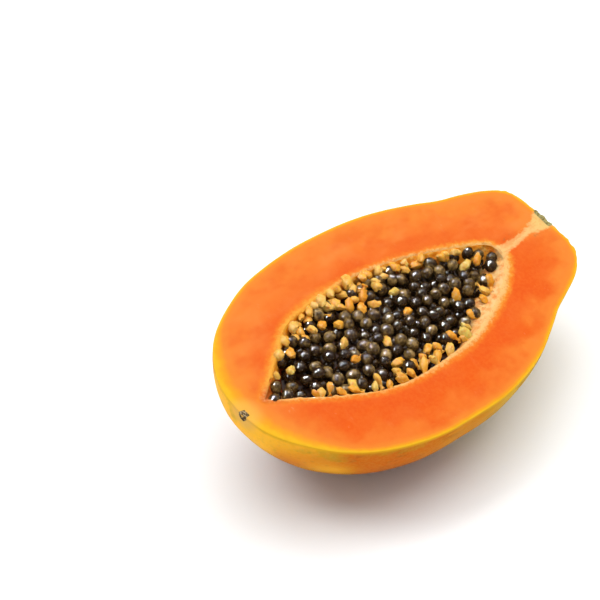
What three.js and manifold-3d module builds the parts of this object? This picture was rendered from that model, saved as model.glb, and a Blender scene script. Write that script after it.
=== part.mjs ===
import * as THREE from 'three';
import { mergeVertices } from 'three/addons/utils/BufferGeometryUtils.js';
import Manifold3d from 'manifold-3d';

const solids = await Manifold3d();
solids.setup();

// Half of a ripe papaya, cut lengthwise and lying on its skin with its seeds in place.
// Millimetres. In the fruit's own frame X runs from the blossom end to the stem end, Y from the
// near side to the far side, and the cut face is at Z = 0 with the flesh below it.

// Stations along the fruit: place on X, half-width on the far side, half-width on the near side
const SKIN_STATIONS = [
  [-95, 0, 0],
  [-93.5, 14, 10],
  [-91, 21.5, 17],
  [-87, 28.5, 24],
  [-81, 36, 32],
  [-73, 42.5, 40.5],
  [-62, 48.5, 48.5],
  [-48, 54, 55],
  [-32, 56.5, 59.5],
  [-15, 57.5, 61],
  [3, 56.5, 61.5],
  [20, 54, 59],
  [35, 50, 54.5],
  [48, 45, 48],
  [60, 39.5, 41.5],
  [71, 36, 37],
  [81, 32, 32.5],
  [88, 28, 27.5],
  [92, 24, 22.5],
  [94.5, 18.5, 15],
  [95, 0, 0],
];
const SKIN_RINGS = 40;
const SKIN_SIDES = 40;
const SKIN_RIBS = 0.012; // height of the fruit's five soft ribs, as a share of the half-width

// The seed hollow: a pointed tip to the blossom end and a blunt one to the stem
const HOLLOW_STATIONS = [
  [-82, 0, 0],
  [-76, 4.2, 4.2],
  [-70, 8.5, 8],
  [-60, 16, 14.5],
  [-48, 24, 21.5],
  [-34, 27, 28],
  [-18, 28, 31],
  [0, 27.2, 31],
  [18, 23.5, 29],
  [34, 18, 23.5],
  [47, 12.5, 17],
  [56, 8, 10],
  [60.5, 4.5, 5],
  [62, 0, 0],
];
const HOLLOW_RINGS = 26;
const HOLLOW_SIDES = 24;
const HOLLOW_RIBS = 0.03;
const HOLLOW_MIDDLE = -10;
const HOLLOW_REACH = 72;
const HOLLOW_HALF_WIDTH = 29.5;

// Dry crust where the stalk came off, and the small scar of the blossom
const CRUST = { middle: [94.4, 1, 0], radius: 7.4, height: 4, sides: 16, roughness: 0.5 };
const BLOSSOM_SCAR = { middle: [-94.4, -1, -2.6], radius: 2.6, height: 1.8, sides: 10, roughness: 0.2 };

// Pale lining strip below the rim of the hollow, which the pale seeds grow from
const WALL_GAP = 0.45;
const SEED_GAP = 0.35;
const LINING_THICKNESS = 1.5;
const LINING_TOP = -0.7;
const LINING_FOOT = -4.5;

// Pale seeds in rows along the lining: where a row starts and ends, which side it is on, the step
// from seed to seed, how far the seeds' middles are from the wall and below the cut, and their size
const PALE_ROWS = [
  { from: -66, to: 44, side: 1, step: 4.6, inset: 2.4, depth: 1.9, length: 4.8, width: 3.6 },
  { from: -58, to: 34, side: 1, step: 6.4, inset: 5.2, depth: 2.3, length: 5, width: 3.5 },
  { from: -66, to: 24, side: -1, step: 5, inset: 2.7, depth: 2, length: 4.8, width: 3.2 },
  { from: 28, to: 56, side: -1, step: 5, inset: 2.4, depth: 2.2, length: 3.8, width: 2.6 },
];
const PALE_SIDES = 5;
const PALE_RINGS = 4;

// Ripe seeds: the bed that their middles keep to, and the core of packed pulp that they stand out of
const BED_STATIONS = [
  [-76, 1.5, 0.5],
  [-68, 7, 3.5],
  [-58, 12.5, 9.5],
  [-46, 17, 17],
  [-33, 20, 21.5],
  [-18, 20, 24],
  [2, 21.5, 24],
  [14, 20, 22],
  [24, 17, 19.5],
  [34, 14, 15.5],
  [46, 9.5, 11],
  [54, 6, 7],
  [57, 3, 4],
];
const SEED_COUNT = 128;
const SEED_DIAMETER = 5.9;
const SEED_SPACING = 6.9;
const SEED_DEPTH = 3.3;
const SEED_DEPTH_SPREAD = 1.6;
const SEED_SIDES = 8;
const SEED_RINGS = 4;
const SETTLING_ROUNDS = 60;
const CORE_TOP = -4.9;

// The fruit lies rolled towards the viewer and tipped a little to its stem end, on a small flat spot
const REST_ROLL = 11.8;
const REST_PITCH = 1.5;
const FLAT_SPOT_DEPTH = 1.2;

const CLEAR_OF_ALL = 400; // edge of a block that is larger than the fruit

// A draw from 0 to 1 that gives the same series for the same seed
function seededDraw(seed) {
  let state = seed;
  return () => {
    state = (Math.imul(state, 1664525) + 1013904223) >>> 0;
    return state / 2 ** 32;
  };
}

function toSolid(geometry) {
  const bare = geometry.clone();
  bare.deleteAttribute('normal');
  bare.deleteAttribute('uv');
  const merged = mergeVertices(bare);
  const vertProperties = new Float32Array(merged.attributes.position.array);
  const triVerts = new Uint32Array(merged.index.array);
  return new solids.Manifold(new solids.Mesh({ numProp: 3, vertProperties, triVerts }));
}

function toGeometry(solid) {
  const mesh = solid.getMesh();
  const geometry = new THREE.BufferGeometry();
  geometry.setAttribute('position', new THREE.BufferAttribute(mesh.vertProperties, 3));
  geometry.setIndex(new THREE.BufferAttribute(mesh.triVerts, 1));
  geometry.computeVertexNormals();
  return geometry;
}

// The largest body of a solid, without loose scraps and sealed bubbles
function mainBody(solid) {
  const bodies = solid.decompose();
  return bodies.reduce((best, body) => (body.volume() > best.volume() ? body : best));
}

function fuse(parts) {
  return parts.reduce((whole, part) => whole.add(part));
}

// A block of the space between two heights
function slab(low, high) {
  const block = new THREE.BoxGeometry(CLEAR_OF_ALL, CLEAR_OF_ALL, high - low);
  block.translate(0, 0, (low + high) / 2);
  return toSolid(block);
}

// A closed round body through its stations, with a half-width that turns smoothly from side to side
function roundBody(stations, rings, sides, ribs) {
  const line = new THREE.CatmullRomCurve3(
    stations.map((station) => new THREE.Vector3(...station)),
    false,
    'catmullrom',
  );
  const positions = [...line.getPoint(0).setY(0).setZ(0).toArray()];
  for (let ring = 1; ring < rings; ring += 1) {
    const { x, y: far, z: near } = line.getPoint(ring / rings);
    for (let side = 0; side < sides; side += 1) {
      const swing = (2 * Math.PI * side) / sides;
      const farShare = (1 + Math.cos(swing)) / 2;
      const rib = 1 + ribs * Math.sin(swing) ** 2 * Math.cos(5 * swing + Math.PI / 2);
      const halfWidth = (far * farShare + near * (1 - farShare)) * rib;
      positions.push(x, halfWidth * Math.cos(swing), -halfWidth * Math.sin(swing));
    }
  }
  const tip = positions.length / 3;
  positions.push(...line.getPoint(1).setY(0).setZ(0).toArray());

  const triangles = [];
  const vertex = (ring, side) => 1 + (ring - 1) * sides + (side % sides);
  for (let side = 0; side < sides; side += 1) {
    triangles.push(0, vertex(1, side), vertex(1, side + 1));
    triangles.push(tip, vertex(rings - 1, side + 1), vertex(rings - 1, side));
    for (let ring = 1; ring < rings - 1; ring += 1) {
      triangles.push(vertex(ring, side), vertex(ring + 1, side), vertex(ring + 1, side + 1));
      triangles.push(vertex(ring, side), vertex(ring + 1, side + 1), vertex(ring, side + 1));
    }
  }
  const geometry = new THREE.BufferGeometry();
  geometry.setAttribute('position', new THREE.Float32BufferAttribute(positions, 3));
  geometry.setIndex(triangles);
  return toSolid(geometry);
}

// The form of the seed hollow, drawn in from its wall
function hollowForm(inset) {
  const along = 1 - inset / HOLLOW_REACH;
  const across = 1 - inset / HOLLOW_HALF_WIDTH;
  const stations = HOLLOW_STATIONS.map(([x, far, near]) => [
    HOLLOW_MIDDLE + (x - HOLLOW_MIDDLE) * along,
    far * across,
    near * across,
  ]);
  return roundBody(stations, HOLLOW_RINGS, HOLLOW_SIDES, HOLLOW_RIBS);
}

// Half-width of an outline at a place on X, on the far side (1) or on the near side (-1)
function halfWidthAt(stations, x, side) {
  const column = side > 0 ? 1 : 2;
  const next = stations.findIndex((station) => station[0] >= x);
  if (next <= 0) {
    return next === 0 ? stations[0][column] : 0;
  }
  const [before, after] = [stations[next - 1], stations[next]];
  const share = (x - before[0]) / (after[0] - before[0]);
  return THREE.MathUtils.lerp(before[column], after[column], share);
}

// A low rough disc that stands out of an end of the fruit
function roughDisc({ middle, radius, height, sides, roughness }, draw) {
  const disc = new THREE.CylinderGeometry(radius * 0.86, radius, height, sides, 1);
  disc.rotateZ(-Math.sign(middle[0]) * Math.PI / 2);
  disc.deleteAttribute('normal');
  disc.deleteAttribute('uv');
  const rough = mergeVertices(disc);
  const position = rough.attributes.position;
  for (let i = 0; i < position.count; i += 1) {
    position.setX(i, position.getX(i) + (draw() - 0.5) * 2 * roughness);
    position.setY(i, position.getY(i) * (1 + (draw() - 0.5) * 0.2));
    position.setZ(i, position.getZ(i) * (1 + (draw() - 0.5) * 0.2));
  }
  rough.translate(...middle);
  return toSolid(rough);
}

function buildFruit() {
  const draw = seededDraw(5);
  const whole = roundBody(SKIN_STATIONS, SKIN_RINGS, SKIN_SIDES, SKIN_RIBS);
  const ends = [roughDisc(CRUST, draw), roughDisc(BLOSSOM_SCAR, draw)];
  const half = fuse([whole, ...ends]).intersect(slab(-CLEAR_OF_ALL, 0));
  return half.subtract(hollowForm(0));
}

// An egg of the given size with its long axis along a direction
function egg(middle, length, width, direction, sides, rings) {
  const form = new THREE.SphereGeometry(0.5, sides, rings);
  form.scale(width, length, width);
  const turn = new THREE.Quaternion().setFromUnitVectors(new THREE.Vector3(0, 1, 0), direction);
  form.applyQuaternion(turn);
  form.translate(...middle);
  return toSolid(form);
}

// The lining strip and its rows of pale seeds, all of them larger by a margin
function paleSolid(margin) {
  const draw = seededDraw(11);
  const strip = hollowForm(0)
    .subtract(hollowForm(LINING_THICKNESS + WALL_GAP + margin))
    .intersect(slab(LINING_FOOT - margin, LINING_TOP + margin));
  const seeds = [];
  for (const row of PALE_ROWS) {
    for (let x = row.from; x <= row.to; x += row.step) {
      const place = x + (draw() - 0.5) * 1.6;
      const wall = halfWidthAt(HOLLOW_STATIONS, place, row.side);
      const inset = row.inset + (draw() - 0.5) * 1.2;
      const depth = row.depth + (draw() - 0.5) * 1.2;
      const direction = new THREE.Vector3((draw() - 0.5) * 1.2, 1, (draw() - 0.5) * 0.8).normalize();
      const swell = 0.85 + 0.3 * draw();
      seeds.push(egg(
        [place, row.side * (wall - inset), -depth],
        row.length * swell + 2 * margin,
        row.width * swell + 2 * margin,
        direction,
        PALE_SIDES,
        PALE_RINGS,
      ));
    }
  }
  return fuse([strip, ...seeds]);
}

function buildPaleSeeds() {
  return mainBody(paleSolid(0).intersect(hollowForm(WALL_GAP)));
}

// Middles of the ripe seeds: random places in the bed that push each other apart until they lie close
function seedPlaces(draw) {
  const start = BED_STATIONS[0][0];
  const end = BED_STATIONS[BED_STATIONS.length - 1][0];
  const places = [];
  while (places.length < SEED_COUNT) {
    const x = THREE.MathUtils.lerp(start, end, draw());
    const y = THREE.MathUtils.lerp(-HOLLOW_HALF_WIDTH, HOLLOW_HALF_WIDTH, draw());
    if (y < halfWidthAt(BED_STATIONS, x, 1) && y > -halfWidthAt(BED_STATIONS, x, -1)) {
      places.push({ x, y });
    }
  }
  for (let round = 0; round < SETTLING_ROUNDS; round += 1) {
    for (const seed of places) {
      for (const other of places) {
        const gap = Math.hypot(seed.x - other.x, seed.y - other.y);
        if (gap > 0 && gap < SEED_SPACING) {
          const push = (SEED_SPACING - gap) / gap / 4;
          seed.x += (seed.x - other.x) * push;
          seed.y += (seed.y - other.y) * push;
        }
      }
      seed.x = THREE.MathUtils.clamp(seed.x, start, end);
      const far = halfWidthAt(BED_STATIONS, seed.x, 1);
      const near = halfWidthAt(BED_STATIONS, seed.x, -1);
      seed.y = THREE.MathUtils.clamp(seed.y, -near, far);
    }
  }
  return places;
}

function buildBlackSeeds() {
  const draw = seededDraw(23);
  const core = hollowForm(WALL_GAP).intersect(slab(-CLEAR_OF_ALL, CORE_TOP));
  const seeds = seedPlaces(draw).map(({ x, y }) => {
    const z = -SEED_DEPTH + (draw() - 0.5) * SEED_DEPTH_SPREAD;
    const lean = new THREE.Vector3(draw() - 0.5, draw() - 0.5, 1).normalize();
    const size = SEED_DIAMETER * (0.93 + 0.1 * draw());
    return egg([x, y, z], size * 1.03, size * 0.98, lean, SEED_SIDES, SEED_RINGS);
  });
  const packed = fuse([core, ...seeds]).intersect(hollowForm(WALL_GAP));
  return mainBody(packed.subtract(paleSolid(SEED_GAP)));
}

// Turns a solid from the fruit's own frame to the way it lies, with its lowest point below zero
function restTurn() {
  const roll = new THREE.Matrix4().makeRotationX(THREE.MathUtils.degToRad(REST_ROLL));
  const pitch = new THREE.Matrix4().makeRotationY(THREE.MathUtils.degToRad(REST_PITCH));
  return pitch.multiply(roll);
}

const turn = restTurn();
const fruitGeometry = toGeometry(buildFruit()).applyMatrix4(turn);
fruitGeometry.computeBoundingBox();
const { min, max } = fruitGeometry.boundingBox;
const place = new THREE.Matrix4().makeTranslation(
  -(min.x + max.x) / 2,
  -(min.y + max.y) / 2,
  -min.z - FLAT_SPOT_DEPTH,
);
fruitGeometry.applyMatrix4(place);
const restingFruit = toSolid(fruitGeometry).subtract(slab(-CLEAR_OF_ALL, 0));

const flesh = new THREE.MeshStandardMaterial({ color: 0xf9813c, roughness: 0.45, metalness: 0 });
const ripeSeed = new THREE.MeshStandardMaterial({ color: 0x2b2620, roughness: 0.25, metalness: 0 });
const paleSeed = new THREE.MeshStandardMaterial({ color: 0xfbc374, roughness: 0.4, metalness: 0 });

function namedMesh(name, geometry, material) {
  const mesh = new THREE.Mesh(geometry, material);
  mesh.name = name;
  return mesh;
}

const rest = place.clone().multiply(turn);
const papaya = new THREE.Group();
papaya.add(namedMesh('papaya_half', toGeometry(restingFruit), flesh));
papaya.add(namedMesh('black_seeds', toGeometry(buildBlackSeeds()).applyMatrix4(rest), ripeSeed));
papaya.add(namedMesh('pale_seeds', toGeometry(buildPaleSeeds()).applyMatrix4(rest), paleSeed));

export default papaya;
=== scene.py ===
import math

import bpy
import numpy as np
from mathutils import Matrix, Vector, noise


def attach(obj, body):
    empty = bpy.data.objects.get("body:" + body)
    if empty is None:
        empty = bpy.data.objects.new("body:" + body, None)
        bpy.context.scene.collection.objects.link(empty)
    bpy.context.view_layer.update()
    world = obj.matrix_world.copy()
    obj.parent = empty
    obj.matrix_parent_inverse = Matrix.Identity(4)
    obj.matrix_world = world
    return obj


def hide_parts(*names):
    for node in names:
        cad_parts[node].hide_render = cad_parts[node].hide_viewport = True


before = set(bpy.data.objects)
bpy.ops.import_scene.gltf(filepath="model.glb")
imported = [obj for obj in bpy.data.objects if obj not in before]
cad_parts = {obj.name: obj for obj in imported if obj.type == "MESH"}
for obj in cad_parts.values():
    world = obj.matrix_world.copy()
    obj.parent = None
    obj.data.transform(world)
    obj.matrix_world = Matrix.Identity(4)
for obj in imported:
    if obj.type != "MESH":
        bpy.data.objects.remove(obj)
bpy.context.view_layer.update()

scene = bpy.context.scene
scene.view_settings.view_transform = "Standard"

# Half a papaya. Sizes are millimetres in the fruit's own frame: X runs from the blossom end to the
# stem end, Y from the near side to the far side, and the cut face is at Z = 0 with the flesh below.
MM = 0.001
REST_ROLL = 11.8
REST_PITCH = 1.5
FRUIT_PLACE = (-0.62, 1.38, 58.29)
TO_ROW = (
    Matrix.Translation(Vector(FRUIT_PLACE) * MM)
    @ Matrix.Rotation(math.radians(REST_PITCH), 4, "Y")
    @ Matrix.Rotation(math.radians(REST_ROLL), 4, "X")
    @ Matrix.Scale(MM, 4)
)

# Stations: place on X, half-width on the far side, half-width on the near side
SKIN_STATIONS = [
    (-95, 0, 0), (-93.5, 14, 10), (-91, 21.5, 17), (-87, 28.5, 24), (-81, 36, 32),
    (-73, 42.5, 40.5), (-62, 48.5, 48.5), (-48, 54, 55), (-32, 56.5, 59.5), (-15, 57.5, 61),
    (3, 56.5, 61.5), (20, 54, 59), (35, 50, 54.5), (48, 45, 48), (60, 39.5, 41.5),
    (71, 36, 37), (81, 32, 32.5), (88, 28, 27.5), (92, 24, 22.5), (94.5, 18.5, 15), (95, 0, 0),
]
HOLLOW_STATIONS = [
    (-82, 0, 0), (-76, 4.2, 4.2), (-70, 8.5, 8), (-60, 16, 14.5), (-48, 24, 21.5),
    (-34, 27, 28), (-18, 28, 31), (0, 27.2, 31), (18, 23.5, 29), (34, 18, 23.5),
    (47, 12.5, 17), (56, 8, 10), (60.5, 4.5, 5), (62, 0, 0),
]
SKIN_RIBS = 0.012
HOLLOW_RIBS = 0.03
RINGS = 156
SKIN_SEGMENTS = 160
HOLLOW_SEGMENTS = 132

# The cut face: its rows of faces, how far the hollow is lowered while they are made, the height
# that counts as on the face, and its material slot and the hollow's, after the skin's, which is 0
CUT_FACE_CUTS = 38
BRIDGE_DROP = 20
CUT_LEVEL = -1e-4
FLESH_SLOT = 1
LINING_SLOT = 2

# Ripe seeds: the bed that their middles keep to, and how they lie in it
BED_STATIONS = [
    (-79.5, 0.4, 0.4), (-76, 2, 1.6), (-68, 8.5, 5.5), (-58, 15, 10.5), (-46, 19, 17),
    (-33, 22, 21.5), (-18, 22, 24), (2, 22.5, 24), (14, 21, 22), (24, 17.5, 19.5), (34, 14, 15.5),
    (46, 9.5, 8.5), (54, 6.5, 2.5), (58, 3.5, 0),
]
BED_REACH = 29.5
SEED_COUNT = 138
SEED_DIAMETER = 6.2
SEED_SPACING = 6.9
SEED_DEPTH = 3.3
SEED_DEPTH_SPREAD = 3.2
SEED_SCATTER = 2.4
SETTLING_ROUNDS = 60
LOWER_LAYER_DEPTH = 7.4
# The lower layer takes only the darker tones, as painted shade under the top one
LOWER_LAYER_SHADED_TONE = 0.3
SUNK_SEED_DROP = 3.6
RIPE_SEED_SERIES = 23

# The dark bed under them
PULP_SEGMENTS = 48
PULP_SHARE = 0.93
PULP_TOP = -8.5

# Pale seeds in rows along the wall: first and last place, side, step, inset, depth, length, width
PALE_ROWS = [
    (-60, 6, 1, 4.4, 0.4, 0.9, 6.2, 4.5),
    (9, 52, 1, 7.2, 1.2, 1.2, 6.4, 4.2),
    (-56, 10, 1, 5.8, 4.2, 1.8, 6.0, 4.2),
    (-46, 2, 1, 8.0, 8.0, 1.6, 5.8, 4.0),
    (-64, 22, -1, 6.2, 2.6, 1.3, 6.2, 4.2),
    (-52, 44, -1, 8.7, 6.4, 1.4, 5.2, 3.8),
]
ROW_JITTER = 4.4
SCATTERED_SEED_LIFT = 0.9
PALE_SEED_LUMPS = 1.9
PALE_SEED_LUMP_HEIGHT = 0.55
PALE_SEED_SERIES = 11

# Profiles of the turned forms: place along the form and radius
STALKED_SEED = [
    (-0.85, 0.3), (-0.74, 0.17), (-0.52, 0.13), (-0.36, 0.24), (-0.14, 0.37), (0.12, 0.39),
    (0.34, 0.29), (0.48, 0.11),
]
NUGGET_SEED = [
    (-0.5, 0.12), (-0.4, 0.27), (-0.2, 0.38), (0.04, 0.41), (0.28, 0.33), (0.44, 0.2), (0.5, 0.08),
]
STALK_CRUST = [
    (-1.1, 5.4), (-0.5, 5.7), (0.3, 5.8), (1.0, 5.4), (1.35, 4.7), (1.2, 3.9), (0.95, 3.1),
    (0.9, 2.2), (1.1, 1.2), (1.0, 0.4),
]
BLOSSOM_SCAR = [(-2.0, 2.0), (-0.2, 2.3), (0.4, 2.1), (0.6, 1.6), (0.2, 1.0), (0.25, 0.4)]
CRUST_MIDDLE = (94.3, 1.4, 0)
SCAR_MIDDLE = (-94.8, -0.6, -0.9)

# Camera in the row frame, millimetres: the photograph's view of the fruit
CAMERA_PLACE = (-388.5, -395.4, 577.7)
CAMERA_AIM = (-32.0, 35.3, 62.8)
CAMERA_ROLL = -3.38
CAMERA_LENS = 101.4

# Lamps: name, azimuth, elevation and spread in degrees, strength, and whether for highlights alone
WORLD_LIGHT = 0.42
LAMPS = [
    ("overhead_softbox", 30, 74, 70, 2.6, False),
    ("left_softbox", 135, 55, 22, 0.8, False),
    ("right_fill", -25, 45, 40, 0.45, False),
    ("left_catch_light", 164, 46, 4, 10.0, True),
    ("back_catch_light", 130, 56, 4, 14.0, True),
    ("far_catch_light", 88, 50, 4, 8.0, True),
    ("top_catch_light", 45, 72, 4, 16.0, True),
]

# Colours are given as they look in a picture where a white surface gets this much light
PICTURE_LIGHT = 1.45

# The floor, in metres: its side, and how far it lies under the fruit
FLOOR_SIZE = 8
FLOOR_DROP = 0.0002


def seeded_draw(seed):
    """A draw from 0 to 1 that gives the same series for the same seed."""
    state = seed

    def draw():
        nonlocal state
        state = (state * 1664525 + 1013904223) % 2**32
        return state / 2**32

    return draw


def smooth_line(stations, count):
    """Points of a spline through the stations, evenly spaced between them."""
    points = np.array(stations, float)
    padded = np.vstack([2 * points[0] - points[1], points, 2 * points[-1] - points[-2]])
    place = np.linspace(0, len(points) - 1, count + 1)
    index = np.minimum(place.astype(int), len(points) - 2)
    t = (place - index)[:, None]
    a, b, c, d = (padded[index + step] for step in range(4))
    return 0.5 * (
        2 * b + (c - a) * t + (2 * a - 5 * b + 4 * c - d) * t**2 + (3 * b - a - 3 * c + d) * t**3
    )


def half_width(stations, x, side):
    """Half-width of an outline at x, on the far side (1) or the near side (-1)."""
    table = np.array(stations, float)
    return float(np.interp(x, table[:, 0], table[:, 1 if side > 0 else 2], left=0, right=0))


def coordinates(piece):
    values = np.empty(len(piece.data.vertices) * 3)
    piece.data.vertices.foreach_get("co", values)
    return values.reshape(-1, 3)


def place_vertices(piece, values):
    piece.data.vertices.foreach_set("co", np.ascontiguousarray(values, dtype=float).ravel())
    piece.data.update()


def give_attribute(piece, name, values):
    attribute = piece.data.attributes.new(name, "FLOAT", "POINT")
    attribute.data.foreach_set("value", np.asarray(values, dtype=np.float32))


def smoothstep(low, high, value):
    t = np.clip((value - low) / (high - low), 0, 1)
    return t * t * (3 - 2 * t)


def rough_field(points, size, seed, octaves=2):
    """Smooth random heights between about -1 and 1 at the points, with lumps of the given size."""
    shift = Vector((seed * 7.3, seed * 3.1, seed * 5.7))
    return np.array([
        noise.fractal(Vector(point) / size + shift, 0.6, 2.1, octaves) for point in points
    ])


def select_only(*pieces):
    bpy.ops.object.select_all(action="DESELECT")
    for piece in pieces:
        piece.select_set(True)
    bpy.context.view_layer.objects.active = pieces[0]


def edit(piece):
    select_only(piece)
    bpy.ops.object.mode_set(mode="EDIT")
    bpy.ops.mesh.select_all(action="SELECT")


def leave_edit():
    bpy.ops.object.mode_set(mode="OBJECT")


def join(pieces, name):
    select_only(*pieces)
    bpy.ops.object.join()
    joined = bpy.context.object
    joined.name = name
    joined.data.name = name
    return joined


def smooth(piece, angle):
    """Smooth shading, but for edges where the faces meet at more than the angle in degrees."""
    select_only(piece)
    bpy.ops.object.shade_smooth_by_angle(angle=math.radians(angle))


def settle(piece):
    """Puts a piece from the fruit's own frame to where it lies, with its place in its mesh."""
    piece.matrix_world = TO_ROW @ piece.matrix_world
    select_only(piece)
    bpy.ops.object.transform_apply(location=True, rotation=True, scale=True)


def hand_in(piece, slot, *nodes):
    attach(piece, "root")
    if nodes:
        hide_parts(*nodes)


# Materials


def colour(red, green, blue):
    """A picture colour, with white at 255, as the linear colour that a shader takes."""
    def linear(value):
        value /= 255
        return value / 12.92 if value <= 0.04045 else ((value + 0.055) / 1.055) ** 2.4

    return (*(linear(value) / PICTURE_LIGHT for value in (red, green, blue)), 1)


class Finish:
    """One material, built up from patterns on Object coordinates and on the piece's attributes."""

    def __init__(self, name, **sockets):
        self.material = bpy.data.materials.new(name)
        self.material.use_nodes = True
        self.tree = self.material.node_tree
        self.shader = self.tree.nodes["Principled BSDF"]
        for socket, value in sockets.items():
            self.shader.inputs[socket.replace("_", " ")].default_value = value
        self.coords = self.add("ShaderNodeTexCoord").outputs["Object"]

    def add(self, kind, inputs=(), **settings):
        node = self.tree.nodes.new(kind)
        for setting, value in settings.items():
            setattr(node, setting, value)
        for socket, value in dict(inputs).items():
            if isinstance(value, bpy.types.NodeSocket):
                self.tree.links.new(value, node.inputs[socket])
            else:
                node.inputs[socket].default_value = value
        return node

    def noise(self, size, detail=3, rough=0.5, stretch=None):
        """Clouds with lumps of the given size in millimetres."""
        vector = self.coords
        if stretch:
            mapping = self.add("ShaderNodeMapping", {"Vector": self.coords, "Scale": stretch})
            vector = mapping.outputs[0]
        inputs = {"Vector": vector, "Scale": 1 / (size * MM), "Detail": detail, "Roughness": rough}
        return self.add("ShaderNodeTexNoise", inputs).outputs["Fac"]

    def cells(self, size):
        """Distance from the middles of irregular cells of the given size in millimetres."""
        inputs = {"Vector": self.coords, "Scale": 1 / (size * MM)}
        return self.add("ShaderNodeTexVoronoi", inputs).outputs["Distance"]

    def attribute(self, name):
        return self.add("ShaderNodeAttribute", attribute_name=name).outputs["Fac"]

    def combine(self, operation, first, second):
        return self.add("ShaderNodeMath", {0: first, 1: second}, operation=operation).outputs[0]

    def plus(self, first, second):
        return self.combine("ADD", first, second)

    def minus(self, first, second):
        return self.combine("SUBTRACT", first, second)

    def times(self, first, second):
        return self.combine("MULTIPLY", first, second)

    def over(self, first, second):
        return self.combine("DIVIDE", first, second)

    def fade(self, value, low, high, start=0.0, end=1.0):
        """A value that goes smoothly from start to end while the input goes from low to high."""
        inputs = {"Value": value, "From Min": low, "From Max": high, "To Min": start, "To Max": end}
        return self.add("ShaderNodeMapRange", inputs, interpolation_type="SMOOTHSTEP").outputs[0]

    def ramp(self, value, *stops):
        node = self.add("ShaderNodeValToRGB", {"Fac": value})
        elements = node.color_ramp.elements
        while len(elements) < len(stops):
            elements.new(0.5)
        for element, (place, shade) in zip(elements, stops):
            element.position = place
            element.color = colour(*shade)
        return node.outputs["Color"]

    def mix(self, factor, first, second):
        node = self.add("ShaderNodeMix", {0: factor}, data_type="RGBA")
        for socket, value in ((6, first), (7, second)):
            if isinstance(value, bpy.types.NodeSocket):
                self.tree.links.new(value, node.inputs[socket])
            else:
                node.inputs[socket].default_value = colour(*value)
        return node.outputs[2]

    def paint(self, shade):
        self.painted = shade
        self.tree.links.new(shade, self.shader.inputs["Base Color"])

    def lay(self, strength, shade):
        """Lays a colour over what is painted so far, where the strength is above 0."""
        self.paint(self.mix(strength, self.painted, shade))

    def bumps(self, *layers):
        """Bumps from pairs of a height and how high it is in millimetres."""
        normal = None
        for height, depth in layers:
            inputs = {"Height": height, "Distance": depth * MM, "Strength": 1.0}
            if normal:
                inputs["Normal"] = normal
            normal = self.add("ShaderNodeBump", inputs).outputs["Normal"]
        self.tree.links.new(normal, self.shader.inputs["Normal"])


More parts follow.
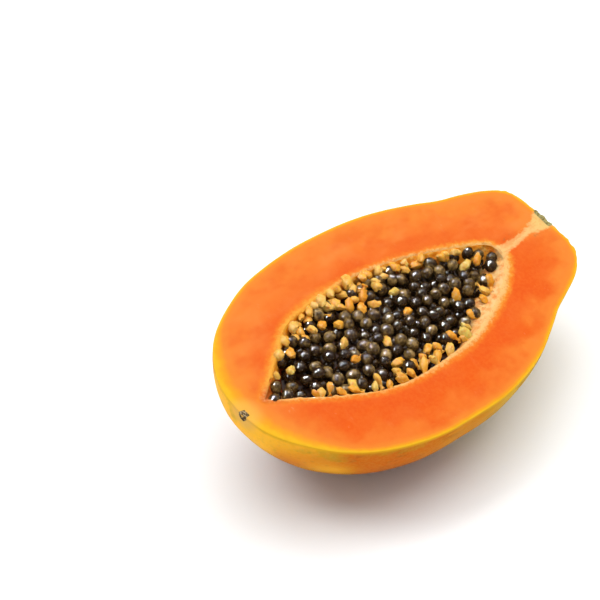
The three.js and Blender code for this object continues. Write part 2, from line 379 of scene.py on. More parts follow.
def flesh_finish():
    """Moist orange flesh: a yellow line under the skin, cream at the hollow, a pale core strand."""
    finish = Finish(
        "papaya_flesh", Roughness=0.75, Specular_IOR_Level=0.02, Subsurface_Weight=0.08,
        Subsurface_Radius=(1.0, 0.3, 0.1), Subsurface_Scale=0.002,
    )
    across = finish.attribute("across")
    along = finish.attribute("along")
    to_skin = finish.attribute("skin_distance")
    to_hollow = finish.attribute("hollow_distance")
    cloud = finish.noise(21, 3)
    # Paler towards the far side: partly the flesh's own tone and partly a painted sheen
    drift = finish.fade(cloud, 0.2, 0.8, -25, 25)
    finish.paint(finish.mix(
        finish.fade(finish.plus(across, drift), -45, 45), (246, 96, 2), (253, 130, 42),
    ))
    deep = finish.fade(finish.noise(18, 3, 0.6, (0.7, 1, 1)), 0.48, 0.64, 0, 0.55)
    finish.lay(deep, (243, 90, 10))
    pale = finish.fade(finish.noise(12, 2, 0.5, (0.6, 1, 1)), 0.48, 0.7, 0, 0.6)
    # This mask makes the far side paler here and in the mottling below, partly as a painted sheen
    far_tone_and_sheen = finish.fade(across, -24, 10, 0.3, 1)
    finish.lay(finish.times(pale, far_tone_and_sheen), (255, 144, 62))
    inner = finish.times(finish.fade(to_hollow, 17, 4), finish.fade(cloud, 0.35, 0.6, 0.4, 0.85))
    finish.lay(finish.times(inner, 0.75), (245, 92, 6))
    outer = finish.plus(to_skin, finish.fade(finish.noise(12, 3), 0.2, 0.8, -7, 7))
    outer = finish.times(finish.fade(outer, 16, 4), finish.fade(along, -10, 50, 0.55, 0.9))
    finish.lay(outer, (254, 142, 46))
    finish.lay(finish.fade(along, -66, -92, 0, 0.6), (254, 150, 56))
    finish.lay(finish.fade(along, 78, 95, 0, 0.3), (255, 150, 60))

    # Mottling, fine grain, faint fibres that run from the hollow to the skin, and a few torn ones
    mottle = finish.noise(10, 2, 0.5, (0.6, 1, 1))
    finish.lay(finish.fade(mottle, 0.48, 0.7, 0, 0.4), (241, 86, 4))
    finish.lay(finish.times(finish.fade(mottle, 0.52, 0.26, 0, 0.4), far_tone_and_sheen), (255, 148, 64))
    grain = finish.fade(finish.noise(1.6, 3, 0.5), 0.35, 0.65)
    finish.lay(finish.times(grain, 0.18), (255, 132, 42))
    fibres = finish.fade(finish.noise(2.2, 2, 0.5, (1, 0.3, 1)), 0.5, 0.75, 0, 0.12)
    fibres = finish.times(fibres, finish.fade(finish.noise(10, 2), 0.45, 0.62))
    finish.lay(fibres, (255, 158, 84))
    torn = finish.fade(finish.noise(1.4, 2, 0.5, (1, 0.5, 1)), 0.64, 0.76, 0, 0.3)
    torn = finish.times(torn, finish.fade(finish.noise(12, 2), 0.6, 0.7))
    finish.lay(torn, (255, 170, 110))

    # The band under the skin is wide at the blossom end
    wobble = finish.fade(finish.noise(5, 3, 0.6), 0.2, 0.8, -0.35, 0.35)
    widening = finish.plus(finish.fade(along, -66, -94, 0, 2.4), 0.9)
    rim = finish.plus(finish.over(to_skin, widening), wobble)
    finish.lay(finish.fade(rim, 6.0, 1.6, 0, 0.75), (253, 148, 44))
    finish.lay(finish.fade(rim, 2.6, 0.8, 0, 0.95), (255, 174, 24))
    finish.lay(finish.fade(rim, 1.2, 0.2, 0, 0.75), (255, 200, 28))
    near_scar = finish.fade(finish.attribute("scar_distance"), 11, 4, 0, 0.7)
    finish.lay(near_scar, (255, 188, 84))

    # The rim of the hollow is cream, and golden on the far side by the blossom end, with a halo
    golden = finish.times(finish.fade(along, 5, -30), finish.fade(across, 0, 6))
    ragged = finish.plus(to_hollow, finish.fade(finish.noise(1.8, 3, 0.6), 0.2, 0.8, -1, 1))
    creamy = finish.times(finish.fade(along, -25, 15), finish.fade(across, 0, -6))
    widest = finish.plus(finish.times(golden, 1.4), finish.times(creamy, 1.5))
    to_rim = finish.minus(ragged, widest)
    halo = finish.mix(finish.fade(along, 25, 48), (255, 150, 36), (255, 176, 52))
    finish.lay(finish.fade(to_rim, 4.4, 0.6, 0, 0.8), halo)
    edge_colour = finish.mix(golden, (255, 202, 124), (255, 178, 62))
    finish.lay(finish.fade(to_rim, 2.0, -0.4, 0, 0.95), edge_colour)
    notches = finish.fade(finish.noise(1.5, 3, 0.7), 0.52, 0.66, 0, 0.6)
    finish.lay(finish.times(notches, finish.fade(to_rim, 2.4, 1.0)), (240, 132, 44))
    pocket = finish.times(finish.fade(along, -74, -80), finish.fade(to_hollow, 3.5, 0.5))
    finish.lay(finish.times(pocket, 0.5), (214, 66, 10))

    # The core strand is frayed at its edges and fibrous inside, with a broken dark thread beside it
    core = finish.attribute("core")
    fray = finish.fade(finish.noise(2.6, 4, 0.7), 0.25, 0.75, -0.4, 0.4)
    core = finish.plus(core, finish.times(fray, finish.fade(core, 0, 0.15)))
    finish.lay(finish.fade(core, 0.0, 0.5, 0, 0.6), (255, 164, 78))
    finish.lay(finish.fade(core, 0.25, 1.0, 0, 0.9), (255, 204, 130))
    strands = finish.fade(finish.noise(2.4, 3, 0.6, (0.4, 1, 1)), 0.45, 0.62, 0, 0.75)
    strands = finish.times(strands, finish.fade(core, 0.3, 0.8))
    finish.lay(strands, (252, 168, 92))
    stalk_end = finish.times(finish.fade(core, 0.5, 0.9), finish.fade(along, 82, 91, 0, 0.8))
    finish.lay(stalk_end, (250, 208, 122))
    broken = finish.fade(finish.noise(1.5, 2), 0.35, 0.6, 0, 0.6)
    finish.lay(finish.times(finish.attribute("dark_thread"), broken), (170, 112, 56))
    finish.bumps(
        (finish.noise(6, 2), 0.3), (finish.noise(1.6, 2), 0.05), (finish.noise(0.5, 2), 0.02),
    )
    return finish.material


def skin_finish():
    """Ripe skin: yellow by both ends and orange between, with green tints, streaks and freckles,
    painted light on the blossom end and painted shade underneath.
    """
    finish = Finish(
        "papaya_skin", Roughness=0.5, Specular_IOR_Level=0.02, Subsurface_Weight=0.06,
        Subsurface_Radius=(1.0, 0.5, 0.15), Subsurface_Scale=0.0015,
    )
    wander = finish.fade(finish.noise(38, 1, 0.4), 0.25, 0.75, -20, 20)
    along = finish.plus(finish.attribute("along"), wander)
    below = finish.attribute("below_cut")
    finish.paint(finish.ramp(
        finish.noise(36, 3, 0.5),
        (0.3, (250, 178, 22)), (0.44, (246, 156, 12)), (0.56, (240, 130, 8)), (0.7, (234, 110, 6)),
    ))
    orange = finish.times(finish.fade(along, -84, -46, 0, 0.65), finish.fade(along, 24, -36))
    finish.lay(orange, (234, 112, 4))
    finish.lay(finish.fade(along, -36, 20, 0, 0.85), (244, 196, 38))
    # Painted light: the blossom end is yellow, and is painted brighter than white to stand for
    # light falling on it
    finish.lay(finish.fade(along, -58, -90, 0, 0.9), (300, 222, 56))
    green = finish.plus(finish.noise(15, 3, 0.6, (0.5, 1, 1)), finish.fade(along, 0, 45, 0, 0.14))
    finish.lay(finish.fade(green, 0.52, 0.68, 0, 0.6), (212, 172, 30))
    finish.lay(finish.fade(green, 0.64, 0.82, 0, 0.45), (160, 150, 40))
    streaks = finish.fade(finish.noise(2.6, 3, 0.6, (0.14, 1, 1)), 0.48, 0.66, 0, 0.5)
    patchy = finish.fade(finish.noise(22, 2), 0.38, 0.58)
    patchy = finish.times(patchy, finish.fade(along, -76, -50, 0.2, 1))
    finish.lay(finish.times(streaks, patchy), (176, 98, 20))
    # Painted shade on the underside: the deeper below the cut, the darker, dark orange by the
    # blossom end and dull ochre by the stem end
    deep = finish.mix(finish.fade(along, -25, 5), (178, 92, 10), (208, 162, 38))
    finish.lay(finish.fade(below, 12, 36, 0, 0.8), deep)
    freckles = finish.fade(finish.cells(4.2), 0.34, 0.12)
    freckles = finish.times(freckles, finish.fade(finish.noise(18, 2), 0.46, 0.66, 0, 0.2))
    finish.lay(freckles, (150, 112, 36))
    dots = finish.fade(finish.cells(2.4), 0.2, 0.08)
    dots = finish.times(dots, finish.fade(finish.noise(12, 2), 0.5, 0.64, 0, 0.25))
    finish.lay(dots, (138, 102, 40))
    finish.lay(finish.fade(finish.noise(1.3, 3), 0.3, 0.8, 0, 0.15), (255, 214, 110))
    finish.lay(finish.fade(below, 2.6, 0.4, 0, 0.9), (255, 190, 30))
    near_scar = finish.fade(finish.attribute("scar_distance"), 11, 3, 0, 0.8)
    finish.lay(near_scar, (262, 200, 100))
    finish.bumps((finish.noise(2.6, 3), 0.1), (finish.noise(0.7, 2), 0.04))
    return finish.material


def lining_finish():
    """The fibrous lining of the hollow: cream on the near side, amber on the far one, with painted
    light on the far wall and painted shade deeper down.
    """
    finish = Finish(
        "hollow_lining", Roughness=0.6, Specular_IOR_Level=0.03, Subsurface_Weight=0.2,
        Subsurface_Radius=(1.0, 0.45, 0.16), Subsurface_Scale=0.002,
    )
    across = finish.attribute("across")
    along = finish.attribute("along")
    below = finish.attribute("below_cut")
    near = finish.ramp(
        finish.noise(2.6, 3, 0.6),
        (0.3, (250, 148, 62)), (0.44, (254, 184, 104)), (0.6, (255, 208, 138)),
    )
    # The far wall is amber, and is painted brighter than white to stand for light on it: partly
    # painted light
    far = finish.ramp(
        finish.noise(3.0, 3, 0.6),
        (0.32, (250, 132, 18)), (0.5, (272, 174, 46)), (0.66, (284, 214, 110)),
    )
    finish.paint(finish.mix(finish.fade(across, -2, 3), near, far))
    pits = finish.fade(finish.cells(2.2), 0.3, 0.12)
    pits = finish.times(pits, finish.fade(below, 0.6, 2, 0, 0.6))
    finish.lay(pits, (206, 104, 38))
    # Painted shade: the wall turns red-brown deeper in the hollow, starting lower on the near side
    # and towards the stem end
    deep = finish.minus(below, finish.fade(across, 2, -2, 0, 3.5))
    deep = finish.minus(deep, finish.fade(along, 36, 48, 0, 4))
    finish.lay(finish.fade(deep, 2.6, 6.5), (130, 46, 10))
    finish.lay(finish.fade(along, -66, -78, 0, 0.8), (196, 70, 14))
    finish.bumps((finish.noise(2.2, 3, 0.6), 0.5), (finish.noise(0.7, 2), 0.15))
    return finish.material


def black_seed_finish():
    """Dark seeds in thin clear jelly coats, some of them olive grey."""
    finish = Finish(
        "black_seed", Roughness=0.6, Specular_IOR_Level=0.0, Coat_Weight=0.6, Coat_Roughness=0.03,
        Coat_IOR=1.42,
    )
    tone = finish.attribute("tone")
    mottle = finish.plus(finish.noise(2.4, 3, 0.6), finish.fade(tone, 0, 1, -0.16, 0.16))
    finish.paint(finish.ramp(
        mottle,
        (0.36, (40, 20, 4)), (0.5, (66, 42, 14)), (0.62, (108, 82, 40)), (0.78, (176, 142, 82)),
    ))
    finish.lay(finish.fade(finish.noise(0.8, 2, 0.6), 0.56, 0.7, 0, 0.35), (172, 142, 90))
    finish.bumps((finish.noise(1.9, 2), 0.13), (finish.noise(0.8, 2), 0.04))
    return finish.material


def pulp_finish():
    """The dark brown bed under the seeds, seen only in the gaps between them."""
    finish = Finish("dark_pulp", Roughness=0.7, Specular_IOR_Level=0.05)
    finish.paint(finish.ramp(finish.noise(3, 3), (0.35, (30, 12, 4)), (0.6, (84, 44, 16))))
    return finish.material


def pale_seed_finish():
    """Undeveloped seeds: cream, gold or a little green, with noise patches of painted shade and
    painted highlight.
    """
    finish = Finish(
        "pale_seed", Roughness=0.5, Specular_IOR_Level=0.02, Coat_Weight=0.03, Coat_Roughness=0.3,
        Subsurface_Weight=0.25, Subsurface_Radius=(1.0, 0.5, 0.15), Subsurface_Scale=0.0015,
    )
    finish.paint(finish.ramp(
        finish.attribute("tone"),
        (0.0, (255, 214, 122)), (0.35, (255, 196, 84)), (0.6, (255, 178, 54)),
        (0.8, (250, 164, 38)), (0.93, (240, 208, 100)),
    ))
    # Noise patches of painted shade in darker orange, then of painted highlight in pale cream
    finish.lay(finish.fade(finish.noise(1.7, 3), 0.48, 0.72, 0, 0.55), (238, 128, 22))
    finish.lay(finish.fade(finish.noise(1.1, 2), 0.55, 0.75, 0, 0.5), (255, 232, 164))
    finish.bumps((finish.noise(1.2, 2), 0.18))
    return finish.material


def crust_finish():
    """Dry corky scar tissue, grey-green on its ridges and dark in its cracks."""
    finish = Finish("dry_scar", Roughness=0.85, Specular_IOR_Level=0.05)
    finish.paint(finish.ramp(
        finish.noise(1.6, 4, 0.7),
        (0.34, (84, 66, 26)), (0.44, (142, 126, 64)), (0.56, (184, 170, 108)),
        (0.7, (146, 142, 80)),
    ))
    finish.bumps((finish.noise(0.8, 3, 0.7), 0.35))
    return finish.material


def scar_finish():
    """The small dark scar of the blossom, grey in its middle."""
    finish = Finish("blossom_scar", Roughness=0.75, Specular_IOR_Level=0.05)
    finish.paint(finish.ramp(
        finish.noise(0.9, 3, 0.7),
        (0.4, (44, 28, 10)), (0.5, (104, 78, 40)), (0.6, (196, 170, 122)),
    ))
    finish.bumps((finish.noise(0.7, 2), 0.25))
    return finish.material


# Pieces


def bowl(stations, segments, ribs):
    """The lower half of a round body through the stations, open at the cut."""
    bpy.ops.mesh.primitive_uv_sphere_add(segments=segments, ring_count=RINGS, radius=1)
    piece = bpy.context.object
    start = coordinates(piece)
    line = smooth_line(stations, RINGS)
    ring = np.rint(np.arccos(np.clip(start[:, 2], -1, 1)) / math.pi * RINGS).astype(int)
    swing = np.arctan2(start[:, 1], start[:, 0])
    x, far, near = line[ring].T
    far_share = (1 + np.cos(swing)) / 2
    rib = 1 + ribs * np.sin(swing) ** 2 * np.cos(5 * swing + math.pi / 2)
    width = (far * far_share + near * (1 - far_share)) * rib
    width[(ring == 0) | (ring == RINGS)] = 0
    place_vertices(piece, np.stack([x, width * np.cos(swing), -width * np.sin(swing)], axis=1))
    edit(piece)
    bpy.ops.mesh.bisect(plane_co=(0, 0, 0), plane_no=(0, 0, 1), clear_outer=True, threshold=0.001)
    leave_edit()
    return piece


def distance_to_line(points, line):
    """Distance in plan from each point to a closed line."""
    start, end = line, np.roll(line, -1, axis=0)
    run = end - start
    length = np.maximum((run**2).sum(1), 1e-12)
    nearest = np.empty(len(points))
    for first in range(0, len(points), 2000):
        part = points[first:first + 2000, None, :] - start
        t = np.clip((part * run).sum(2) / length, 0, 1)
        nearest[first:first + 2000] = np.sqrt(((part - run * t[..., None]) ** 2).sum(2)).min(1)
    return nearest


def outline(stations):
    x, far, near = smooth_line(stations, 4 * RINGS).T
    return np.concatenate([np.stack([x, far], 1), np.stack([x, -near], 1)[::-1]])


def core_strength(x, y):
    """How much a place on the cut face belongs to the pale strand from the hollow to the stalk."""
    half = 1.9 + 2.4 * np.exp(-np.maximum(x - 61, 0) / 4.5) + 3.6 * smoothstep(80, 95, x)
    middle = -1.1 + 2.2 * smoothstep(84, 95, x) + 0.5 * np.sin(x / 4.0)
    return smoothstep(1.4, 0.5, np.abs(y - middle) / half) * smoothstep(58, 61, x)


def dark_thread(x, y):
    """A thin dark vessel that runs beside the core strand in two short pieces."""
    by_hollow = smoothstep(68, 69, x) * smoothstep(76, 75, x)
    by_stalk = smoothstep(81, 82, x) * smoothstep(87, 86, x)
    line = np.where(x < 79, 2.2 + 0.12 * (x - 68), -4.6 - 0.1 * (x - 81)) + 0.25 * np.sin(x * 1.3)
    return np.maximum(by_hollow, by_stalk) * smoothstep(0.6, 0.1, np.abs(y - line))


def bridged_shells():
    """The skin and the hollow with the cut face between them, each with its own material slot."""
    skin = bowl(SKIN_STATIONS, SKIN_SEGMENTS, SKIN_RIBS)
    hollow = bowl(HOLLOW_STATIONS, HOLLOW_SEGMENTS, HOLLOW_RIBS)
    for finish in (skin_finish(), flesh_finish(), lining_finish()):
        skin.data.materials.append(finish)
        hollow.data.materials.append(finish)
    hollow.data.polygons.foreach_set(
        "material_index", [LINING_SLOT] * len(hollow.data.polygons)
    )
    give_attribute(skin, "inward", [0] * len(skin.data.vertices))
    give_attribute(hollow, "inward", [1] * len(hollow.data.vertices))
    place_vertices(hollow, coordinates(hollow) - np.array((0, 0, BRIDGE_DROP)))
    fruit = join([skin, hollow], "papaya_fruit")
    edit(fruit)
    bpy.ops.mesh.select_all(action="DESELECT")
    bpy.ops.mesh.select_mode(type="EDGE")
    bpy.ops.mesh.select_non_manifold()
    bpy.ops.mesh.bridge_edge_loops(number_cuts=CUT_FACE_CUTS, interpolation="LINEAR")
    bpy.ops.mesh.select_all(action="SELECT")
    bpy.ops.mesh.normals_make_consistent(inside=False)
    leave_edit()
    inward = np.empty(len(fruit.data.vertices))
    fruit.data.attributes["inward"].data.foreach_get("value", inward)
    place = coordinates(fruit)
    place[:, 2] += BRIDGE_DROP * inward
    place_vertices(fruit, place)
    for polygon in fruit.data.polygons:
        if polygon.center.z > CUT_LEVEL:
            polygon.material_index = FLESH_SLOT
    return fruit


def make_fruit():
    fruit = bridged_shells()
    place = coordinates(fruit)
    x, y, z = place.T
    to_skin = distance_to_line(place[:, :2], outline(SKIN_STATIONS))
    to_hollow = distance_to_line(place[:, :2], outline(HOLLOW_STATIONS))
    core = core_strength(x, y)
    for name, values in (
        ("skin_distance", to_skin), ("hollow_distance", to_hollow), ("along", x), ("across", y),
        ("below_cut", -z), ("core", core), ("dark_thread", dark_thread(x, y)),
        ("scar_distance", np.linalg.norm(place - np.array(SCAR_MIDDLE), axis=1)),
    ):
        give_attribute(fruit, name, values)

    on_cut = z > CUT_LEVEL
    in_hollow = np.zeros(len(place), bool)
    for polygon in fruit.data.polygons:
        if polygon.material_index == LINING_SLOT:
            in_hollow[list(polygon.vertices)] = True
    rim = on_cut & in_hollow
    edge = on_cut & (to_skin < 1e-3)
    shell = edge | (~on_cut & ~in_hollow)
    face = on_cut & ~edge
    wall = in_hollow & ~rim

    # The skin dents a little, and is knobbly round the stalk
    knobs = rough_field(place, 4.5, 2) * 0.9 * smoothstep(84, 94, x)
    dent = rough_field(place, 26, 1) * 0.2 + knobs
    outward = place - np.stack([np.clip(x, -60, 50), 0 * x, 0 * x], 1)
    outward /= np.maximum(np.linalg.norm(outward, axis=1), 1e-6)[:, None]
    moved = place.copy()
    moved[shell] += outward[shell] * dent[shell, None]
    moved[edge, 2] = -0.3

    # The cut face swells a little between its edges and dips along the core
    swell = rough_field(place, 16, 3) * 0.2 + rough_field(place, 3.2, 4) * 0.06
    height = swell * smoothstep(0, 3, to_skin)
    height += 0.3 * np.exp(-((to_hollow - 1.0) / 0.9) ** 2) * (1 + 0.6 * rough_field(place, 4, 5))
    height -= 0.25 * core * smoothstep(62, 66, x)
    moved[face, 2] += height[face]

    # The rim of the hollow is ragged, most of all on the far side by the blossom end
    side = np.where(y > 0, 1.0, -1.0)
    torn = 0.35 + 0.75 * smoothstep(10, -25, x) * (y > 0)
    ragged = rough_field(place, 2.6, 6, 3) * torn * smoothstep(58, 50, x) * smoothstep(-80, -72, x)
    near_rim = face & (to_hollow < 6)
    moved[near_rim, 1] += (ragged * side * np.exp(-to_hollow / 1.2))[near_rim]
    moved[rim, 2] -= 0.35 + 0.25 * np.abs(rough_field(place[rim], 2.2, 7))

    # Below the rim the near wall slopes in as a lumpy ledge towards the stem end
    drop = np.clip(-z / 5.5, 0, 1)
    ledge = smoothstep(8, 32, x) * smoothstep(62, 55, x) * 8.0 + 1.6
    slope = 1.2 + 2.6 * smoothstep(5, 28, x) * smoothstep(62, 52, x)
    inward = np.where(y < 0, ledge * drop, slope * drop)
    lumps = rough_field(place, 2.8, 8, 3) * 0.75 * smoothstep(0, 1.5, -z)
    toward_middle = np.minimum(inward + lumps, np.abs(y))
    moved[wall, 1] -= (toward_middle * side)[wall]
    moved[wall, 2] += (np.abs(lumps) * 0.8)[wall]
    moved[wall, 2] = np.minimum(moved[wall, 2], -0.3)
    place_vertices(fruit, moved)

    smooth(fruit, 50)
    settle(fruit)
    resting = coordinates(fruit)
    resting[:, 2] = np.maximum(resting[:, 2], 0)
    place_vertices(fruit, resting)
    hand_in(fruit, "flesh", "papaya_half")


def turned(profile, sides):
    """A round form along X, from pairs of place and radius, extruded ring by ring and closed."""
    bpy.ops.mesh.primitive_circle_add(
        vertices=sides, radius=profile[0][1], location=(profile[0][0], 0, 0),
        rotation=(0, math.pi / 2, 0),
    )
    piece = bpy.context.object
    bpy.ops.object.transform_apply(location=True, rotation=True)
    bpy.ops.object.mode_set(mode="EDIT")
    bpy.ops.mesh.select_mode(type="EDGE")
    for (start, radius), (end, next_radius) in zip(profile, profile[1:]):
        bpy.ops.mesh.extrude_edges_move(TRANSFORM_OT_translate={"value": (end - start, 0, 0)})
        scale = next_radius / radius
        bpy.ops.transform.resize(value=(1, scale, scale), center_override=(end, 0, 0))
    bpy.ops.mesh.select_all(action="DESELECT")
    bpy.ops.mesh.select_non_manifold()
    bpy.ops.mesh.fill_holes(sides=0)
    bpy.ops.mesh.select_all(action="SELECT")
    bpy.ops.mesh.normals_make_consistent(inside=False)
    leave_edit()
    return piece


def copies(template, turns, tones, draw, ruggedness):
    """Copies of a template at the given turns, each with its own mesh, tone and small lumps."""
    made = []
    start = coordinates(template)
    for turn, tone in zip(turns, tones):
        copy = template.copy()
        copy.data = template.data.copy()
        scene.collection.objects.link(copy)
        lumps = np.array([1 + ruggedness * (draw() - 0.5) for _ in start])
        turned_to = np.array(turn)
        place_vertices(copy, (start * lumps[:, None]) @ turned_to[:3, :3].T + turned_to[:3, 3])
        give_attribute(copy, "tone", [tone] * len(start))
        made.append(copy)
    bpy.data.objects.remove(template)
    return made


def seed_places(draw):
    """Middles of the ripe seeds: random places in the bed that push each other apart."""
    start, end = BED_STATIONS[0][0], BED_STATIONS[-1][0]
    places = []
    while len(places) < SEED_COUNT:
        x = start + (end - start) * draw()
        y = -BED_REACH + 2 * BED_REACH * draw()
        if -half_width(BED_STATIONS, x, -1) < y < half_width(BED_STATIONS, x, 1):
            places.append([x, y])
    for _ in range(SETTLING_ROUNDS):
        for seed in places:
            for other in places:
                gap = math.hypot(seed[0] - other[0], seed[1] - other[1])
                if 0 < gap < SEED_SPACING:
                    push = (SEED_SPACING - gap) / gap / 4
                    seed[0] += (seed[0] - other[0]) * push
                    seed[1] += (seed[1] - other[1]) * push
            seed[0] = min(max(seed[0], start), end)
            low = -half_width(BED_STATIONS, seed[0], -1)
            high = half_width(BED_STATIONS, seed[0], 1)
            seed[1] = min(max(seed[1], low), high)
    return places


def random_turn(draw):
    return (
        Matrix.Rotation(draw() * 2 * math.pi, 4, "Z")
        @ Matrix.Rotation(draw() * math.pi, 4, "Y")
        @ Matrix.Rotation(draw() * 2 * math.pi, 4, "X")
    )


def make_black_seeds():
    """Two layers of ripe seeds. Returns the places over sunk ones, which hold pale seeds."""
    draw = seeded_draw(RIPE_SEED_SERIES)
    places = seed_places(draw)
    bpy.ops.mesh.primitive_uv_sphere_add(segments=10, ring_count=6, radius=0.5)
    seed = bpy.context.object
    edit(seed)
    bpy.ops.transform.resize(value=(0.97, 0.94, 1.07))
    leave_edit()
    turns = []
    tones = []
    scattered = []
    for x, y in places:
        z = -SEED_DEPTH + (draw() - 0.5) * SEED_DEPTH_SPREAD
        x += (draw() - 0.5) * SEED_SCATTER
        y += (draw() - 0.5) * SEED_SCATTER
        size = SEED_DIAMETER * (0.88 + 0.17 * draw())
        # More of them are pale by the near wall, and some more by the far one
        pale_share = 0.1 + 0.3 * (y < -7 and x > -20) + 0.12 * (y > 9 and x > -30)
        if draw() < pale_share:
            scattered.append((x, y, z + SCATTERED_SEED_LIFT))
            z -= SUNK_SEED_DROP
        turns.append(Matrix.Translation((x, y, z)) @ random_turn(draw) @ Matrix.Scale(size, 4))
        tones.append(draw())
    # The lower layer, under the top one, gets darker tones as painted shade
    for x, y in seed_places(draw):
        z = -LOWER_LAYER_DEPTH + (draw() - 0.5) * 2
        size = SEED_DIAMETER * (0.9 + 0.1 * draw())
        turns.append(Matrix.Translation((x, y, z)) @ random_turn(draw) @ Matrix.Scale(size, 4))
        tones.append(LOWER_LAYER_SHADED_TONE * draw())
    seeds = join(copies(seed, turns, tones, draw, 0.03), "ripe_seeds")
    seeds.data.materials.append(black_seed_finish())
    select_only(seeds)
    bpy.ops.object.shade_smooth()
    settle(seeds)
    hand_in(seeds, "black_seed", "black_seeds")
    return scattered


def make_pulp():
    """The dark packed bottom of the bed, below the seeds that show."""
    inset = [(x, far * PULP_SHARE, near * PULP_SHARE) for x, far, near in HOLLOW_STATIONS]
    pulp = bowl(inset, PULP_SEGMENTS, HOLLOW_RIBS)
    edit(pulp)
    bpy.ops.mesh.bisect(
        plane_co=(0, 0, PULP_TOP), plane_no=(0, 0, 1), clear_outer=True, use_fill=True,
        threshold=0.001,
    )
    bpy.ops.mesh.select_all(action="SELECT")
    bpy.ops.mesh.normals_make_consistent(inside=False)
    leave_edit()
    pulp.name = "seed_pulp"
    pulp.data.materials.append(pulp_finish())
    settle(pulp)
    hand_in(pulp, "black_seed", "black_seeds")


def make_pale_seeds(scattered):
    """Rows of pale seeds that lean in from the wall, and a few scattered among the ripe ones."""
    draw = seeded_draw(PALE_SEED_SERIES)
    stalked, nugget = turned(STALKED_SEED, 8), turned(NUGGET_SEED, 8)
    rows = {"stalked": [], "nugget": []}
    for start, end, side, step, inset, depth, length, width in PALE_ROWS:
        x = start
        while x <= end:
            place = x + (draw() - 0.5) * ROW_JITTER
            wall = half_width(HOLLOW_STATIONS, place, side)
            gap = inset + (draw() - 0.3) * 2.2
            below = depth + (draw() - 0.5) * 1.4
            lean = Vector(((draw() - 0.5) * 1.8, -side, 0.1 + 0.5 * draw())).normalized()
            swell = 0.6 + 0.7 * draw()
            turn = Vector((1, 0, 0)).rotation_difference(lean).to_matrix().to_4x4()
            turn = turn @ Matrix.Rotation(draw() * 2 * math.pi, 4, "X")
            stretch = (length * swell, width * swell * 1.25, width * swell * (0.95 + 0.3 * draw()))
            turn = Matrix.Translation((place, side * (wall - gap), -below)) @ turn
            turn = turn @ Matrix.Diagonal((*stretch, 1))
            kind = "stalked" if side < 0 or draw() < 0.3 else "nugget"
            rows[kind].append((turn, 0.15 + draw() * (0.6 if side > 0 else 0.8)))
            x += step
    for x, y, z in scattered:
        size = Matrix.Diagonal((5.2 + 1.8 * draw(), 4.2 + 1.3 * draw(), 4.6, 1))
        turn = Matrix.Rotation(draw() * 2 * math.pi, 4, "Z")
        turn = turn @ Matrix.Rotation((draw() - 0.5) * 1.6, 4, "Y")
        kind = "stalked" if draw() < 0.25 else "nugget"
        turn = Matrix.Translation((x, y, z)) @ turn @ size
        rows[kind].append((turn, 0.25 + 0.75 * draw()))
    made = []
    for template, kind in ((stalked, "stalked"), (nugget, "nugget")):
        turns, tones = zip(*rows[kind])
        made += copies(template, turns, tones, draw, 0.28)
    kernels = join(made, "pale_seed_rows")
    place = coordinates(kernels)
    push = [rough_field(place, PALE_SEED_LUMPS, seed, 2) for seed in (21, 22, 23)]
    place_vertices(kernels, place + PALE_SEED_LUMP_HEIGHT * np.stack(push, 1))
    kernels.data.materials.append(pale_seed_finish())
    smooth(kernels, 48)
    settle(kernels)
    hand_in(kernels, "pale_seed", "pale_seeds")


def make_dry_scar(name, finish, form, middle, facing, top, lumps, ribs):
    """The scar of the stalk or the blossom: a turned form, roughened and cut off at the top.

    The lumps along it and the ribs round it are each a size, a seed, octaves and a height.
    """
    place = coordinates(form)
    *pattern, height = lumps
    place[:, 0] += rough_field(place, *pattern) * height
    *pattern, height = ribs
    place[:, 1:] *= (1 + height * rough_field(place, *pattern))[:, None]
    place[:, 0] *= facing
    place_vertices(form, place + np.array(middle))
    edit(form)
    bpy.ops.mesh.bisect(plane_co=(0, 0, top), plane_no=(0, 0, 1), clear_outer=True, use_fill=True)
    bpy.ops.mesh.select_all(action="SELECT")
    bpy.ops.mesh.normals_make_consistent(inside=False)
    leave_edit()
    form.name = name
    form.data.materials.append(finish)
    smooth(form, 40)
    settle(form)
    hand_in(form, "skin")


# Floor, lights and camera


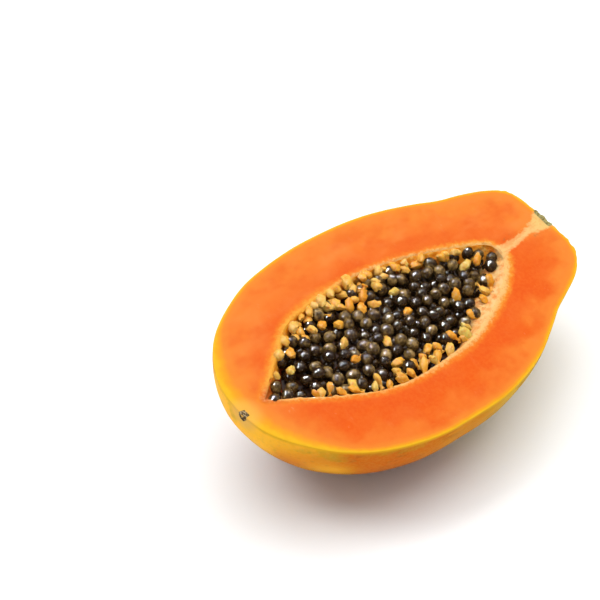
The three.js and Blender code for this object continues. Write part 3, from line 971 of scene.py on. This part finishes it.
def make_floor():
    bpy.ops.mesh.primitive_plane_add(size=FLOOR_SIZE, location=(0, 0, -FLOOR_DROP))
    floor = bpy.context.object
    floor.name = "floor"
    finish = Finish("pale_floor", Roughness=0.9, Specular_IOR_Level=0.1)
    finish.shader.inputs["Base Color"].default_value = (0.87, 0.885, 0.89, 1)
    floor.data.materials.append(finish.material)


def aimed(place, aim, roll=0.0):
    turn = (Vector(aim) - Vector(place)).to_track_quat("-Z", "Y").to_matrix().to_4x4()
    return Matrix.Translation(Vector(place)) @ turn @ Matrix.Rotation(roll, 4, "Z")


def make_lights():
    world = bpy.data.worlds.new("studio")
    scene.world = world
    world.use_nodes = True
    background = world.node_tree.nodes["Background"]
    background.inputs["Color"].default_value = (0.98, 0.99, 1, 1)
    background.inputs["Strength"].default_value = WORLD_LIGHT
    for name, azimuth, elevation, spread, strength, highlights_only in LAMPS:
        lamp = bpy.data.lights.new(name, "SUN")
        lamp.energy = strength
        lamp.angle = math.radians(spread)
        direction = Vector((1, 0, 0))
        direction.rotate(Matrix.Rotation(math.radians(-elevation), 3, "Y"))
        direction.rotate(Matrix.Rotation(math.radians(azimuth), 3, "Z"))
        holder = bpy.data.objects.new(name, lamp)
        holder.matrix_world = aimed(direction, (0, 0, 0))
        holder.visible_diffuse = not highlights_only
        scene.collection.objects.link(holder)


def make_camera():
    lens = bpy.data.cameras.new("photo_view")
    lens.lens = CAMERA_LENS
    lens.sensor_width = 36
    lens.clip_start = 0.05
    camera = bpy.data.objects.new("photo_view", lens)
    place = Vector(CAMERA_PLACE) * MM
    camera.matrix_world = aimed(place, Vector(CAMERA_AIM) * MM, math.radians(CAMERA_ROLL))
    scene.collection.objects.link(camera)
    scene.camera = camera


make_camera()
make_lights()
make_floor()
make_fruit()
scattered_pale = make_black_seeds()
make_pulp()
make_pale_seeds(scattered_pale)
make_dry_scar(
    "stalk_crust", crust_finish(), turned(STALK_CRUST, 64), CRUST_MIDDLE, 1, -0.1,
    lumps=(2.0, 8, 4, 0.7), ribs=(4, 9, 2, 0.14),
)
make_dry_scar(
    "blossom_scar", scar_finish(), turned(BLOSSOM_SCAR, 36), SCAR_MIDDLE, -1, 0.15,
    lumps=(1.1, 12, 3, 0.3), ribs=(1.8, 13, 2, 0.2),
)
